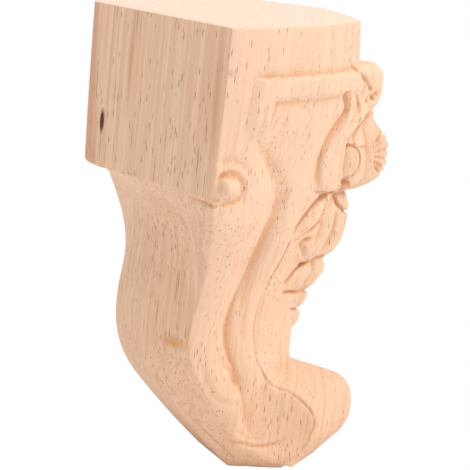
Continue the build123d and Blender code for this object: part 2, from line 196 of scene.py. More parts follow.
# Wood cut away along lines over the surface: places, half widths, depths.
GROOVES = [
    # Crease between the moulding's rounded end and the curl.
    ([(13.1, 53.2, 90.5), (11.9, 55.4, 89.8), (10.6, 56.8, 89.4), (9.2, 57.8, 88.8), (7.9, 59.0, 88.2),
      (6.6, 60.2, 87.4), (5.6, 61.7, 86.0), (4.6, 63.2, 84.4)],
     [0.3, 0.4, 0.5, 0.5, 0.5, 0.5, 0.5, 0.4], [0.3, 0.5, 0.7, 0.8, 0.8, 0.7, 0.6, 0.5]),
    # Leaf hollow.
    ([(13.3, 52.5, 84.3), (12.1, 54.0, 82.4), (11.9, 54.3, 80.5), (12.5, 53.2, 78.9),
      (13.6, 51.1, 77.1), (14.2, 49.2, 75.3), (14.7, 48.1, 73.2), (14.8, 47.4, 71.0),
      (14.2, 47.5, 68.7), (13.7, 47.8, 66.4), (12.9, 49.0, 64.1)],
     [1.1, 1.6, 1.9, 1.9, 1.8, 1.7, 1.6, 1.5, 1.4, 1.2, 0.8],
     [0.8, 1.3, 1.6, 1.6, 1.4, 1.3, 1.2, 1.1, 0.9, 0.6, 0.2]),
    # Small hollow beside the ribbon, and the ribbon's lower edge.
    ([(7.6, 58.9, 83.2), (7.3, 59.3, 81.6), (7.6, 59.2, 80.0)], [0.5, 0.7, 0.4], [0.4, 0.6, 0.3]),
    ([(0, 68.0, 79.8), (1.3, 66.7, 79.3), (3.5, 64.5, 78.8), (5.2, 62.2, 77.5), (7.6, 59.3, 76.2),
      (8.3, 58.3, 74.7), (8.5, 58.1, 73.0)],
     [0.5, 0.5, 0.5, 0.5, 0.5, 0.4, 0.3], [0.7, 0.8, 0.9, 0.8, 0.7, 0.5, 0.3]),
    # Line round the oval lobe and on over the shell.
    ([(9.2, 55.9, 72.3), (8.9, 56.8, 72.7), (8.4, 58.5, 72.6), (7.6, 60.3, 71.2), (7.3, 60.9, 69.5),
      (7.4, 60.8, 68.0), (7.9, 60.0, 66.4), (8.3, 58.7, 65.6), (8.6, 57.3, 65.4)],
     [0.25, 0.3, 0.3, 0.3, 0.3, 0.3, 0.3, 0.35, 0.4], [0.4, 0.6, 0.6, 0.6, 0.6, 0.6, 0.6, 0.7, 0.8]),
    ([(7.3, 60.6, 72.0), (5.6, 63.0, 71.9), (4.8, 64.7, 71.0)], [0.3, 0.3, 0.25], [0.4, 0.4, 0.2]),
    # Hole under the oval lobe.
    ([(8.7, 57.3, 65.2), (8.0, 57.9, 63.6), (7.6, 57.6, 62.4)], [0.7, 0.9, 0.8], [1.2, 1.6, 1.2]),
    # Chisel cuts by the curl and one under the leaf.
    ([(2.9, 66.8, 84.4), (3.7, 65.2, 83.2)], [0.2, 0.45], [0.3, 0.8]),
    ([(3.8, 65.0, 83.8), (4.4, 63.8, 82.5)], [0.2, 0.45], [0.3, 0.8]),
    ([(4.8, 63.0, 83.2), (5.4, 61.8, 82.0)], [0.2, 0.45], [0.3, 0.8]),
    ([(7.4, 57.9, 63.5), (7.2, 57.5, 62.0)], [0.5, 0.6], [0.8, 1.0]),
    # Foot of the leaf, and the deep groove above the blade.
    ([(13.0, 48.4, 62.9), (11.6, 50.6, 62.6), (9.6, 53.4, 62.2), (7.4, 56.0, 61.6)],
     [0.4, 0.5, 0.6, 0.6], [0.4, 0.7, 0.9, 0.8]),
    ([(9.3, 52.9, 61.4), (11.3, 50.2, 61.2), (12.1, 48.3, 59.7), (12.6, 46.5, 57.6), (12.9, 44.9, 55.6),
      (12.8, 44.0, 54.0)],
     [0.6, 0.8, 0.7, 0.6, 0.5, 0.3], [1.0, 1.5, 1.2, 1.0, 0.7, 0.2]),
    # Line under the blade.
    ([(8.6, 53.4, 60.4), (7.6, 54.4, 58.6), (7.3, 54.4, 56.8), (7.6, 53.2, 55.2), (8.6, 51.0, 54.0),
      (9.8, 48.6, 52.8), (11.6, 45.4, 51.6)],
     [0.35, 0.35, 0.35, 0.4, 0.4, 0.35, 0.25], [0.5, 0.6, 0.7, 0.8, 0.7, 0.5, 0.3]),
    # Crease round the bud.
    ([(3.6, 58.0, 60.2), (3.4, 58.9, 58.6), (3.0, 60.5, 57.2), (2.4, 62.2, 56.4), (0, 64.0, 56.2)],
     [0.4] * 5, [0.6, 0.7, 0.7, 0.7, 0.7]),
    # Valleys between the low lobes and the hollow beneath the blade.
    ([(3.2, 58.8, 56.4), (3.3, 58.4, 52.0), (2.8, 56.6, 48.0)], [0.4] * 3, [0.1, 0.2, 0.1]),
    ([(9.4, 47.7, 51.0), (8.6, 49.6, 51.4), (7.6, 51.8, 51.5)], [0.6, 0.9, 0.5], [0.5, 0.8, 0.3]),
    ([(8.8, 48.4, 50.2), (8.2, 49.2, 48.8), (7.4, 50.0, 47.4)], [0.8, 1.2, 0.7], [0.6, 0.7, 0.3]),
    # Crease at the front of the second band, beside the husks.
    ([(12.4, 43.5, 51.9), (11.6, 42.8, 48.6), (11.2, 41.9, 46.2), (11.2, 40.6, 43.6),
      (10.6, 39.9, 41.0)],
     [0.3] * 5, [0.4, 0.5, 0.5, 0.4, 0.2]),
    # Top and foot of the tier, foot of the husk.
    ([(7.2, 46.4, 41.4), (6.3, 48.4, 43.7), (5.2, 50.4, 45.0), (3.8, 53.4, 45.7), (2.2, 56.4, 46.4),
      (0, 59.4, 46.6)],
     [0.5, 0.5, 0.5, 0.5, 0.5, 0.4], [0.5, 0.8, 0.9, 0.8, 0.6, 0.5]),
    ([(6.2, 46.6, 39.0), (4.4, 49.6, 38.6), (2.8, 51.8, 38.1), (1.5, 54.0, 37.9), (0, 56.0, 37.9)],
     [0.4] * 5, [0.5, 0.6, 0.6, 0.6, 0.5]),
    ([(3.4, 50.2, 34.4), (1.6, 52.4, 33.8), (0, 54.0, 33.7)], [0.3, 0.35, 0.35], [0.4, 0.5, 0.5]),
]

# Nicks across the shell's rim (height, depth) and in the tier's top edge (out, forward).
SHELL_NICKS = ((75.2, 0.35), (72.8, 0.2), (70.6, 0.3), (68.7, 0.3), (66.8, 0.45), (65.2, 0.2))
TIER_NICKS = ((1.6, 58.0), (3.2, 55.0), (4.6, 52.2), (5.8, 49.8))
for height, deep in SHELL_NICKS:
    start = (4.8, 65.2, 70.0 + 0.4 * (height - 70))
    nick = [start, (3.0, 68.8, height + 0.1), (0, 71.4, height - 0.3)]
    GROOVES.append((nick, [0.25, 0.35, 0.4], [0.1, deep + 0.1, deep]))
for out, forward in TIER_NICKS:
    GROOVES.append(([(out, forward, 46.0), (out, forward, 43.4)], [0.3, 0.2], [0.5, 0.1]))

# Lines along the scroll bands and about the toe: places, half widths, depths.
VALLEY = (
    [(26.7, 26.5, 76.3), (24.2, 29.6, 73.4), (21.5, 33.3, 70.1), (20.1, 35.6, 66.9), (18.8, 36.9, 63.4),
     (18.1, 36.7, 59.8), (17.5, 35.8, 56.4), (16.0, 33.7, 48.6), (14.5, 32.8, 40.3), (13.0, 34.4, 31.9),
     (12.8, 35.9, 28.2)],
    [0.7, 1.0, 1.2, 1.3, 1.3, 1.3, 1.3, 1.2, 1.1, 0.9, 0.6],
    [0.1, 0.25, 0.3, 0.3, 0.3, 0.3, 0.35, 0.4, 0.35, 0.2, 0.1],
)
CREASE = (
    [(11.3, 40.4, 44.0), (11.5, 39.3, 42.1), (11.2, 38.6, 38.9), (10.6, 38.4, 35.1), (10.5, 38.4, 31.5),
     (10.8, 38.7, 28.5), (11.6, 38.9, 26.3), (11.6, 40.1, 24.1), (11.6, 41.6, 22.1), (12.7, 42.9, 20.3),
     (13.0, 45.1, 19.2), (12.9, 47.4, 18.2), (13.0, 49.3, 17.0), (12.9, 51.4, 15.5), (12.5, 53.4, 13.9),
     (12.4, 54.6, 12.2), (12.4, 54.8, 10.8), (12.4, 54.5, 9.2), (12.4, 53.3, 6.5), (12.4, 52.1, 4.2),
     (12.3, 50.8, 1.7)],
    [0.3] * 21,
    [0.3] + [0.45] * 17 + [0.4, 0.3, 0.2],
)
TOE_LINES = [
    # Edge of the first band running down to the disc, and the valley beside it.
    ([(18.2, 21.3, 30.2), (17.9, 22.4, 27.4), (17.6, 23.8, 24.7), (17.2, 25.7, 21.0),
      (16.8, 28.1, 18.5), (16.4, 30.5, 17.4), (15.8, 32.8, 16.7)],
     [0.5, 0.9, 1.0, 1.0, 1.0, 0.9, 0.6], [0.1, 0.2, 0.25, 0.25, 0.3, 0.25, 0.1]),
    ([(16.7, 25.9, 31.8), (16.0, 27.2, 29.4), (15.5, 28.6, 27.4), (14.9, 30.3, 25.4),
      (14.3, 31.9, 23.8), (13.9, 34.0, 21.9)],
     [0.5, 0.8, 0.9, 0.9, 0.8, 0.6], [0.1, 0.25, 0.3, 0.3, 0.2, 0.1]),
    # Arcs under the disc.
    ([(12.5, 33.1, 8.3), (13.1, 34.8, 7.4), (13.3, 37.2, 6.8), (13.0, 40.1, 6.1), (12.9, 42.8, 6.0),
      (12.8, 45.5, 6.4), (12.8, 47.9, 7.3)],
     [0.3, 0.4, 0.5, 0.5, 0.5, 0.4, 0.3], [0.2, 0.35, 0.4, 0.45, 0.4, 0.3, 0.1]),
    ([(14.4, 34.8, 10.3), (14.0, 36.9, 9.0), (13.2, 39.3, 7.9), (12.7, 42.0, 7.4)],
     [0.3, 0.4, 0.4, 0.3], [0.1, 0.2, 0.2, 0.1]),
    # Back arris of the foot.
    ([(9.9, 24.1, 13.7), (10.2, 26.1, 12.1), (10.4, 28.0, 10.5), (10.5, 29.9, 8.9), (10.4, 31.7, 7.2),
      (10.3, 34.2, 5.0), (9.8, 36.9, 2.6)],
     [0.25, 0.3, 0.3, 0.3, 0.3, 0.3, 0.3], [0.1, 0.25, 0.3, 0.35, 0.35, 0.35, 0.3]),
]

# How near to its joint with the block the leg is blended, and how widely each joint and edge
# is rounded.
COVE = 4.0
COVE_BLEND = 1.4
COVE_LEAST = 0.02
BLOCK_EDGE = 0.6
LEG_EDGE = 0.1
TOE_EDGE = 1.0
TOE_BLEND = 1.6
DISC_EDGE = 1.2
DISH_BLEND = 3.2
LOBE_EDGE = 0.8
LOBE_BLEND = 0.5
FOOT_EDGE = 0.5
TOP_EDGE = 0.4
# Depths that the material reads for the painted shade in the hollows, and the reach in mm that each is
# measured over.
DEPTH_REACHES = [("hollow", 1.2), ("dip", 3.6)]

# Wood colours, linear.
WOOD_PALE = (0.87, 0.605, 0.43, 1)
WOOD_WARM = (0.83, 0.50, 0.31, 1)
WOOD_DEEP = (0.58, 0.31, 0.16, 1)
WOOD_PINK = (0.87, 0.57, 0.41, 1)
WOOD_PORE = (0.26, 0.11, 0.05, 1)
WOOD_END = (0.90, 0.70, 0.57, 1)
# Painted shade for the hollows: a dark brown, and a near-black for the deepest.
HOLLOW_SHADE_COLOUR = (0.62, 0.26, 0.09, 1)
DEEP_SHADE_COLOUR = (0.22, 0.08, 0.03, 1)
# Redder, darker tone of the block's back strip: its own colour, and painted shade for a face turned from
# the light.
ROSE_AND_BACK_SHADE = (0.60, 0.27, 0.17, 1)
# Sizes of the wood's patterns: cells per metre along each axis, and widths in cells.
PATCH_CELLS = (55, 55, 14)
STREAK_CELLS = (900, 900, 9)
FIBRE_CELLS = (3000, 3000, 120)
BEND_CELLS = (40, 40, 10)
BAND_CELLS = (760, 760, 7)
CROWD_CELLS = (110, 110, 40)
# Noise that breaks up the painted shade in the hollows.
SHADE_NOISE_CELLS = (2600, 2600, 1300)
PORE_CELLS = (1500, 1500, 200)
VEIN_CELLS = (1300, 1300, 30)
PORE_WIDTH = 0.2
VEIN_WIDTH = 0.16
PORE_CORE = 0.6
# Growth rings: the tree's heart, how little they change along it, their waviness and cells.
RING_MIDDLE = (0.05, 0.09, 0.0)
RING_SQUASH = (1, 1, 0.12)
RING_BEND = 0.012
RING_CELLS = (1100, 1, 1)
# Tints: where what drives each one starts and ends, and the tint's share at the end.
RING_TINT = (0.35, 0.65, 0.5)
LOW_TINT = (-0.03, -0.085, 0.4)
PATCH_TINT = (0.4, 0.7, 0.5)
STREAK_TINT = (0.52, 0.72, 0.3)
FIBRE_TINT = (0.5, 0.75, 0.16)
PORE_TINT = (0.0, 1.0, 0.7)
# Streaks on the inner face: grain, and painted shade that darkens that face as a whole.
BAND_AND_SHADE_TINT = (0.42, 0.7, 0.48)
# Back strip of the block: a redder tone that also paints its shade.
BACK_TONE_AND_SHADE_TINT = (0.93, 0.99, 0.55)
END_RING_TINT = (0.4, 0.6, 0.45)
END_TINT = (0.8, 0.98, 0.85)
TOE_TINT = (0.46, 0.62, 0.4)
# Painted shade in the dips and hollows, near-black at the deepest, and the share of noise that breaks it
# up.
DIP_SHADE_TINT = (0.08, 0.9, 0.6)
HOLLOW_SHADE_TINT = (0.02, 0.4, 0.8)
DEEP_SHADE_TINT = (0.3, 0.7, 0.7)
SHADE_NOISE_SHARE = 0.08
# Directions, and where each mask starts and is full.
BACK_FACING = (0.0, 1.0, 0.0)
INNER_FACING = (-0.48, 0.877, 0.0)
INNER_EDGE = (0.6, 0.92)
CROWD_EDGE = (0.32, 0.48)
# Where the noise in the painted shade of the hollows starts and is full.
SHADE_NOISE_EDGE = (0.3, 0.7)
ON_BLOCK = (-0.040, -0.032)
ON_TOP = (-0.003, -0.001)
BELOW_TOE = (-0.074, -0.080)
BEFORE_TOE = (-0.012, -0.022)
ROUGHNESS = 0.62
SPECULAR = 0.25
BUMP_STRENGTH = 0.4
BUMP_HEIGHT = 0.00012
FIBRE_HEIGHT = 0.5
# Marks: middle and half size in the frame, where the edge starts to fade, colour and share.
MARKS = [
    ((-0.0042, 0.0274, -0.0242), (0.0007, 0.0011, 0.0032), 0.5, (0.07, 0.02, 0.01, 1), 0.97),
    ((-0.0042, 0.0274, -0.0290), (0.00022, 0.0005, 0.0060), 0.2, (0.20, 0.07, 0.03, 1), 0.55),
    ((-0.0150, 0.0111, -0.0690), (0.0046, 0.0046, 0.0019), 0.0, (0.66, 0.29, 0.10, 1), 0.85),
    ((0.0, -0.0385, -0.0290), (0.0105, 0.0110, 0.0100), 0.3, (0.74, 0.37, 0.22, 1), 0.4),
    ((-0.0292, 0.0140, -0.0140), (0.0022, 0.0022, 0.0200), 0.2, (0.50, 0.24, 0.11, 1), 0.35),
    ((-0.0098, 0.0248, -0.0100), (0.0009, 0.0009, 0.0130), 0.2, (0.50, 0.25, 0.12, 1), 0.35),
]

FLOOR_HALF = 3.0
FLOOR_GAP = 0.0002
FLOOR_COLOUR = (0.9, 0.9, 0.9, 1)
FLOOR_ROUGHNESS = 0.9
WHITE = (1, 1, 1, 1)
ROOM_LIGHT = 0.78
LAMPS = [
    ("key", (-0.25, -0.55, 0.45), (0, 0, -0.05), 0.3, 2.75, (1.0, 0.98, 0.96)),
    ("top", (0.0, 0.1, 0.7), (0, 0, 0), 0.5, 1.1, (1.0, 1.0, 1.0)),
]

CAMERA_PLACE = (-0.3947637, 0.1847895, 0.0484509)
CAMERA_TURN = 0.453786
CAMERA_PITCH = 0.219378
CAMERA_ROLL = 0.106855
FOCAL_PIXELS = 2062.109
PICTURE_PIXELS = 470
SENSOR_MM = 36.0
CAMERA_NEAR = 0.01


class Grid:
    """Signed distances on a grid over one half of the leg, below nought inside the wood."""

    def __init__(self, step):
        self.step = step
        self.out = np.arange(0.0, HIGH_CORNER[0], step, dtype=np.float32)
        self.forward = np.arange(LOW_CORNER[0], HIGH_CORNER[1], step, dtype=np.float32)
        self.up = np.arange(LOW_CORNER[1], HIGH_CORNER[2], step, dtype=np.float32)
        self.axes = (self.out, self.forward, self.up)
        self.field = np.full([len(axis) for axis in self.axes], FAR, dtype=np.float32)

    def window(self, low, high):
        """Slices of the field and open coordinate arrays for the box from low to high."""
        spans = []
        for axis, start, end in zip(self.axes, low, high):
            first = int(np.searchsorted(axis, start))
            last = int(np.searchsorted(axis, end, side="right"))
            spans.append(slice(first, max(last, first + 1)))
        x = self.out[spans[0]][:, None, None]
        y = self.forward[spans[1]][None, :, None]
        z = self.up[spans[2]][None, None, :]
        return tuple(spans), x, y, z


def smooth_least(a, b, blend):
    """The lesser of two distances, with the corner between them rounded."""
    share = np.maximum(blend - np.abs(a - b), 0.0) / blend
    return np.minimum(a, b) - share * share * blend * 0.25


def smooth_most(a, b, blend):
    """The greater of two distances, with the corner between them rounded."""
    return -smooth_least(-a, -b, blend)


def tube_distance(x, y, z, points, radii):
    """Distance to a tube along a polyline whose radius changes from point to point."""
    nearest = None
    for start, end, thick, thin in zip(points, points[1:], radii, radii[1:]):
        along = np.subtract(end, start)
        length = float(along @ along)
        dx, dy, dz = x - start[0], y - start[1], z - start[2]
        share = np.clip((dx * along[0] + dy * along[1] + dz * along[2]) / length, 0.0, 1.0)
        gap = np.sqrt(
            (dx - share * along[0]) ** 2 + (dy - share * along[1]) ** 2 + (dz - share * along[2]) ** 2
        )
        gap = gap - (thick + (thin - thick) * share)
        nearest = gap if nearest is None else np.minimum(nearest, gap)
    return nearest


def reach(points, radii, margin):
    """Box round a tube, with a margin."""
    wide = max(radii) + margin
    low = np.min(points, axis=0) - wide
    high = np.max(points, axis=0) + wide
    return low, high


def add_tube(grid, points, radii, blend=0.8):
    """Wood added along a line."""
    spans, x, y, z = grid.window(*reach(points, radii, 2.0 + blend))
    tube = tube_distance(x, y, z, points, radii)
    grid.field[spans] = smooth_least(grid.field[spans], tube, blend)


def cut_tube(grid, points, radii, blend=0.6):
    """Wood cut away along a line."""
    spans, x, y, z = grid.window(*reach(points, radii, 2.0 + blend))
    tube = tube_distance(x, y, z, points, radii)
    grid.field[spans] = smooth_most(grid.field[spans], -tube, blend)


def settled(grid, place):
    """The place moved onto the surface, and the direction that leads out of the wood there."""
    for _ in range(SETTLE_ROUNDS):
        index = [int(round((p - axis[0]) / grid.step)) for p, axis in zip(place, grid.axes)]
        index = [min(max(n, 1), len(axis) - 2) for n, axis in zip(index, grid.axes)]
        slope = np.zeros(3)
        for axis in range(3):
            above, below = list(index), list(index)
            above[axis] += 1
            below[axis] -= 1
            slope[axis] = grid.field[tuple(above)] - grid.field[tuple(below)]
        away = slope / max(np.linalg.norm(slope), 1e-6)
        at_node = np.array([axis[n] for n, axis in zip(index, grid.axes)])
        gap = float(grid.field[tuple(index)]) + float((np.array(place) - at_node) @ away)
        place = np.array(place) - np.clip(gap, -SETTLE_LIMIT, SETTLE_LIMIT) * away
    return place, away


def draped(grid, line, side):
    """Places and radii of a tube that meets the surface along a line with set widths and depths."""
    places, radii = [], []
    for place, half, deep in zip(*line):
        onto, away = settled(grid, place)
        radius = (half * half + deep * deep) / (2 * deep)
        places.append(onto + side * (radius - deep) * away)
        radii.append(radius)
    return places, radii


def ridge(grid, line, blend=0.3):
    """A rounded ridge over the surface along a line."""
    add_tube(grid, *draped(grid, line, -1), blend)


def groove(grid, line, blend=0.3):
    """A rounded groove in the surface along a line."""
    cut_tube(grid, *draped(grid, line, 1), blend)


def curve(knots, values, places):
    """Smooth curve through the values at the knots, read at the places."""
    knots = np.asarray(knots, float)
    values = np.asarray(values, float)
    count = len(knots)
    gaps = np.diff(knots)
    slopes = np.diff(values, axis=0) / gaps[:, None]
    system = np.zeros((count, count))
    right = np.zeros_like(values)
    system[0, 0] = system[-1, -1] = 1.0
    for i in range(1, count - 1):
        system[i, i - 1] = gaps[i - 1]
        system[i, i] = 2 * (gaps[i - 1] + gaps[i])
        system[i, i + 1] = gaps[i]
        right[i] = 6 * (slopes[i] - slopes[i - 1])
    bend = np.linalg.solve(system, right)
    span = np.clip(np.searchsorted(knots, places, side="right") - 1, 0, count - 2)
    gap = gaps[span][:, None]
    start = ((knots[span + 1] - places)[:, None]) / gap
    end = 1 - start
    return (
        start * values[span]
        + end * values[span + 1]
        + ((start**3 - start) * bend[span] + (end**3 - end) * bend[span + 1]) * gap**2 / 6
    )


def flat_row(row):
    """A section's numbers without its height."""
    return [number for place in row[1:6] for number in place] + [row[6], row[7]]


def bowed(start, end, bulge, count=6):
    """Points on a shallow bow from start to end, swelling outward."""
    share = np.linspace(0, 1, count + 1)[:, None]
    along = end - start
    away = np.array([-along[1], along[0]]) / np.linalg.norm(along)
    if away[0] < 0:
        away = -away
    return start + share * along + 4 * share * (1 - share) * bulge * away


def section_outline(numbers, back_round):
    """Outline of half a section, from the middle of the back strip round to the nose."""
    back, side, valley, crease, flank = (np.array(numbers[i : i + 2]) for i in range(0, 10, 2))
    nose, bulge = numbers[10], numbers[11]
    strip = [(back[0] * share, back[1] - back_round * (1 - share**2)) for share in STRIP_SHARES]
    tip = np.array([0.0, nose])
    mirrored = [flank * (-1, 1), crease * (-1, 1)]
    nose_points = np.array([crease, flank, tip, *mirrored])
    steps = np.linalg.norm(np.diff(nose_points, axis=0), axis=1)
    knots = np.concatenate([[0], np.cumsum(steps)])
    front = curve(knots, nose_points, np.linspace(0, knots[2], NOSE_POINTS))
    first_band = bowed(side, valley, bulge)
    second_band = bowed(valley, crease, bulge)
    return np.vstack([strip, [back], first_band, second_band[1:], front[1:]])


def outline_distance(a, b, outline):
    """Signed distance in a plane to an open outline whose ends lie on the line a = 0."""
    start, end = outline[:-1], outline[1:]
    along = end - start
    length = np.maximum((along**2).sum(axis=1), 1e-9)
    da = a[..., None] - start[:, 0]
    db = b[..., None] - start[:, 1]
    share = np.clip((da * along[:, 0] + db * along[:, 1]) / length, 0, 1)
    gap = (da - share * along[:, 0]) ** 2 + (db - share * along[:, 1]) ** 2
    nearest = np.sqrt(gap.min(axis=-1))
    crosses = (start[:, 1] > b[..., None]) != (end[:, 1] > b[..., None])
    slope = np.where(np.abs(along[:, 1]) < 1e-9, 1e-9, along[:, 1])
    meets = start[:, 0] + (b[..., None] - start[:, 1]) * along[:, 0] / slope
    inside = (crosses & (meets > a[..., None])).sum(axis=-1) % 2 == 1
    return np.where(inside, -nearest, nearest).astype(np.float32)


def sections_at(sections, heights):
    """The numbers of the sections, read on smooth curves at the heights."""
    return curve([row[0] for row in sections], [flat_row(row) for row in sections], heights)


def carve_body(grid):
    """The plain leg and the block above it, slice by slice from the foot up."""
    leg = sections_at(LEG_SECTIONS, np.clip(grid.up, 0, BLOCK_FOOT))
    block = sections_at(BLOCK_SECTIONS, np.clip(grid.up, BLOCK_FOOT, LEG_HEIGHT))
    a, b = np.meshgrid(grid.out, grid.forward, indexing="ij")
    for i, height in enumerate(grid.up):
        inside_leg = inside_block = np.full(a.shape, FAR, dtype=np.float32)
        blend = COVE_BLEND
        if height < BLOCK_FOOT + COVE:
            inside_leg = outline_distance(a, b, section_outline(leg[i], 0.0))
        if height > BLOCK_FOOT - COVE:
            inside_block = outline_distance(a, b, section_outline(block[i], BACK_ROUND))
            blend = np.clip((inside_leg - inside_block) * 0.5, COVE_LEAST, COVE_BLEND)
            inside_block = smooth_most(inside_block, np.float32(BLOCK_FOOT - height), BLOCK_EDGE)
        if height > BLOCK_FOOT:
            inside_leg = smooth_most(inside_leg, np.float32(height - BLOCK_FOOT), LEG_EDGE)
        grid.field[:, :, i] = smooth_least(inside_leg, inside_block, blend)


def arc_points(start, middle, end, count):
    """Points on the circle through three places in a plane."""
    matrix = np.array([middle - start, end - start]) * 2
    right = np.array([middle @ middle - start @ start, end @ end - start @ start])
    centre = np.linalg.solve(matrix, right)
    radius = np.linalg.norm(start - centre)
    angles = [math.atan2(*(place - centre)[::-1]) for place in (start, middle, end)]
    first, _, last = np.unwrap(angles)
    turn = np.linspace(first, last, count)
    return centre + radius * np.column_stack([np.cos(turn), np.sin(turn)])


def toe_outline(places):
    """Side view of the toe as a closed outline."""
    back, rise, tip, fall, tread, heel = (np.array(place) for place in places)
    return np.vstack([back, arc_points(rise, tip, fall, ROLL_POINTS), tread, heel, back])


def carve_toe(grid):
    """The rolled toe, slice by slice outward from the middle, and the disc at its end."""
    widths = [row[0] for row in TOE_PROFILES]
    values = np.array([[number for place in row[1:] for number in place] for row in TOE_PROFILES])
    spans, x, y, z = grid.window(TOE_LOW, TOE_HIGH)
    b, c = np.meshgrid(grid.forward[spans[1]], grid.up[spans[2]], indexing="ij")
    rim = widths[-1]
    for i, out in enumerate(grid.out[spans[0]]):
        place = min(float(out), rim)
        numbers = [np.interp(place, widths, column) for column in values.T]
        outline = toe_outline([numbers[k : k + 2] for k in range(0, 12, 2)])
        flat = outline_distance(b, c, outline) * TOE_SLANT
        flat = smooth_most(flat, np.float32(out - rim), TOE_EDGE)
        part = grid.field[i, spans[1], spans[2]]
        grid.field[i, spans[1], spans[2]] = smooth_least(part, flat, TOE_BLEND)
    disc = np.sqrt((y - DISC_MIDDLE[0]) ** 2 + (z - DISC_MIDDLE[1]) ** 2) - DISC_RADIUS
    disc = smooth_most(disc + 0 * x, x - DISC_FACE + 0 * y + 0 * z, DISC_EDGE)
    grid.field[spans] = smooth_least(grid.field[spans], disc, TOE_BLEND)
    (forward, up), wide, deep = DISH
    hollow_radius = (wide * wide + deep * deep) / (2 * deep)
    middle = DISC_FACE + hollow_radius - deep
    dish = np.sqrt((x - middle) ** 2 + (y - forward) ** 2 + (z - up) ** 2) - hollow_radius
    away = np.sqrt((y - forward) ** 2 + (z - up) ** 2) + 0 * x
    dish = smooth_most(dish, away - DISH_LIMIT, DISH_BLEND)
    grid.field[spans] = smooth_most(grid.field[spans], -dish, DISH_BLEND)


def ramp(value, edge, span):
    """Nought before the span about the edge, one past it, smooth between."""
    share = np.clip((value - edge - span[0]) / (span[1] - span[0]), 0.0, 1.0)
    return share * share * (3 - 2 * share)


def carve_moulding(grid):
    """Raised bar and upright strip, and the shallow panel that they frame."""
    spans, x, y, z = grid.window(MOULDING_LOW, MOULDING_HIGH)
    drop = np.clip((BAR_TOP - z) / (BAR_TOP - STRIP_BOTTOM), 0, 1)
    back = STRIP_TOP_FORWARD[0] + (STRIP_BOTTOM_FORWARD[0] - STRIP_TOP_FORWARD[0]) * drop
    front = STRIP_TOP_FORWARD[1] + (STRIP_BOTTOM_FORWARD[1] - STRIP_TOP_FORWARD[1]) * drop
    bar = ramp(z, BAR_BOTTOM, BAR_FOOT_SPAN) * (1 - ramp(z, BAR_TOP, BAR_TOP_SPAN))
    strip = (1 - ramp(y, front, STRIP_FRONT_SPAN)) * ramp(z, STRIP_BOTTOM, STRIP_FOOT_SPAN)
    strip = strip * (1 - ramp(z, BAR_TOP, STRIP_TOP_SPAN))
    raised = ramp(y, back, STRIP_BACK_SPAN) * np.maximum(bar + 0 * y, strip)
    grid.field[spans] -= (BAR_RELIEF * raised * (x > MOULDING_LOW[0])).astype(np.float32)


def carve_eye(grid):
    """Scroll eye: a rounded boss with a groove wound about it and a small hole below."""
    groove(grid, EYE_RIM, blend=0.6)
    groove(grid, EYE_GROOVE, blend=0.4)
    add_tube(grid, *EYE_BOSS, blend=0.5)
    groove(grid, EYE_HOLE, blend=0.2)
    groove(grid, UNDER_LINE, blend=0.4)


def lobed_outline(numbers):
    """Half outline of a lobed section, from the middle lobe's top round to inside the nose."""
    valleys = [np.array(numbers[i : i + 2]) for i in range(0, 8, 2)]
    width, front = valleys[0]
    swell = 2 * MIDDLE_LOBE * width
    middle = [(share * width, front + rise * swell) for share, rise in LOBE_CURVE]
    sides = [
        bowed(start, end, SIDE_LOBE * np.linalg.norm(end - start), LOBE_POINTS)[:-1]
        for start, end in zip(valleys, valleys[1:])
    ]
    return np.vstack([middle, *sides, [valleys[-1]], [(0.0, valleys[-1][1])]])


def add_lobed(grid, rows):
    """A lobed piece of ornament, slice by slice between its lowest and highest rows."""
    rows = sorted(rows)
    knots = [row[0] for row in rows]
    low = (0, ORNAMENT_BACK, knots[0] - ORNAMENT_MARGIN)
    high = (ORNAMENT_WIDE, HIGH_CORNER[1], knots[-1] + ORNAMENT_MARGIN)
    spans = grid.window(low, high)[0]
    heights = grid.up[spans[2]]
    numbers = [[n for place in row[1:] for n in place] for row in rows]
    values = curve(knots, numbers, np.clip(heights, knots[0], knots[-1]))
    a, b = np.meshgrid(grid.out[spans[0]], grid.forward[spans[1]], indexing="ij")
    for i, height in enumerate(heights):
        flat = outline_distance(a, b, lobed_outline(values[i]))
        past_end = np.float32(max(knots[0] - height, height - knots[-1]))
        flat = smooth_most(flat, past_end, LOBE_EDGE)
        level = spans[2].start + i
        part = grid.field[spans[0], spans[1], level]
        grid.field[spans[0], spans[1], level] = smooth_least(part, flat, LOBE_BLEND)


def carve_ornament(grid):
    """Curl, leaves, shell, bud and husks down the front, then the lines that part them."""
    for rows in (CURL_ROWS, SHELL_ROWS, LEAF_ROWS, TIER_ROWS, HUSK_ROWS, DROP_ROWS):
        add_lobed(grid, rows)
    for line in RIDGES:
        ridge(grid, line)
    for line in GROOVES:
        groove(grid, line)


def carve_lines(grid):
    """Soft valleys and thin lines along the scroll bands and round the toe."""
    groove(grid, VALLEY, blend=0.8)
    groove(grid, CREASE, blend=0.15)
    for line in TOE_LINES:
        groove(grid, line)


def trim(grid):
    """The flat foot and the flat top."""
    up = grid.up[None, None, :]
    grid.field = smooth_most(grid.field, -up, FOOT_EDGE)
    grid.field = smooth_most(grid.field, up - np.float32(LEG_HEIGHT), TOP_EDGE)


def blurred(field, reach_cells):
    """Mean of the field over a box round each place."""
    width = 2 * reach_cells + 1
    for axis in range(3):
        margin = [(0, 0)] * 3
        margin[axis] = (reach_cells + 1, reach_cells)
        total = np.cumsum(np.pad(field, margin, mode="edge"), axis=axis, dtype=np.float64)
        first = [slice(None)] * 3
        last = [slice(None)] * 3
        first[axis] = slice(0, -width)
        last[axis] = slice(width, None)
        field = ((total[tuple(last)] - total[tuple(first)]) / width).astype(np.float32)
    return field


def between(field, places):
    """The field read at places between its nodes."""
    low = np.floor(places).astype(int)
    share = places - low
    total = np.zeros(len(places))
    for corner in CELL_CORNERS:
        near = np.abs(1 - np.array(corner) - share)
        index = tuple(np.minimum((low + corner).T, np.array(field.shape)[:, None] - 1))
        total += near.prod(axis=1) * field[index]
    return total


